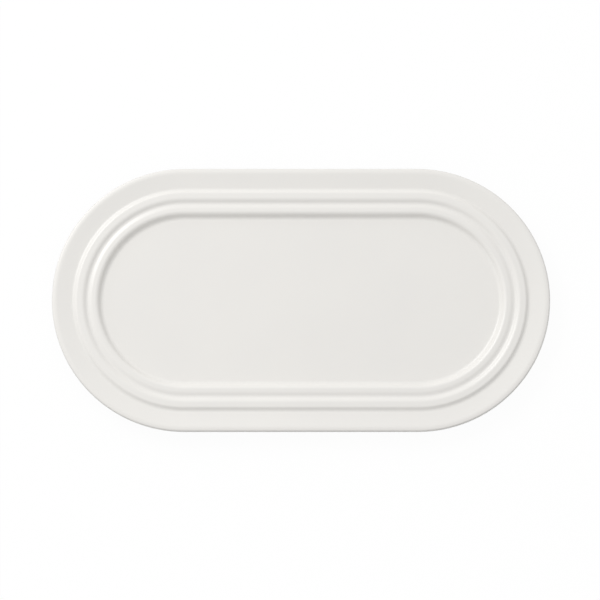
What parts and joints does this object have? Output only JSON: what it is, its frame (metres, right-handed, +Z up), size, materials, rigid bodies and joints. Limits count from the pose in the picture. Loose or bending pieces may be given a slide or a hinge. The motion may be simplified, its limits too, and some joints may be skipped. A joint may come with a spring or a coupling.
{
  "type": "oval plate",
  "caption": "Oval white-glazed stoneware serving plate with a flat well, a double raised bead, a narrow sloping flange and a bare foot ring.",
  "frame": {"origin": "middle of the plane that the foot ring stands on", "axes": "+X along the plate's length, +Y across it, +Z up from the table"},
  "size_m": [0.3, 0.16, 0.0141],
  "materials": {
    "fired_clay": "bare fired stoneware, matte and slightly gritty",
    "white_glaze": "warm white glossy glaze"
  },
  "bodies": {
    "root": {"stoneware_body": "fired_clay", "face_glaze": "white_glaze", "base_glaze": "white_glaze"}
  },
  "joints": []
}
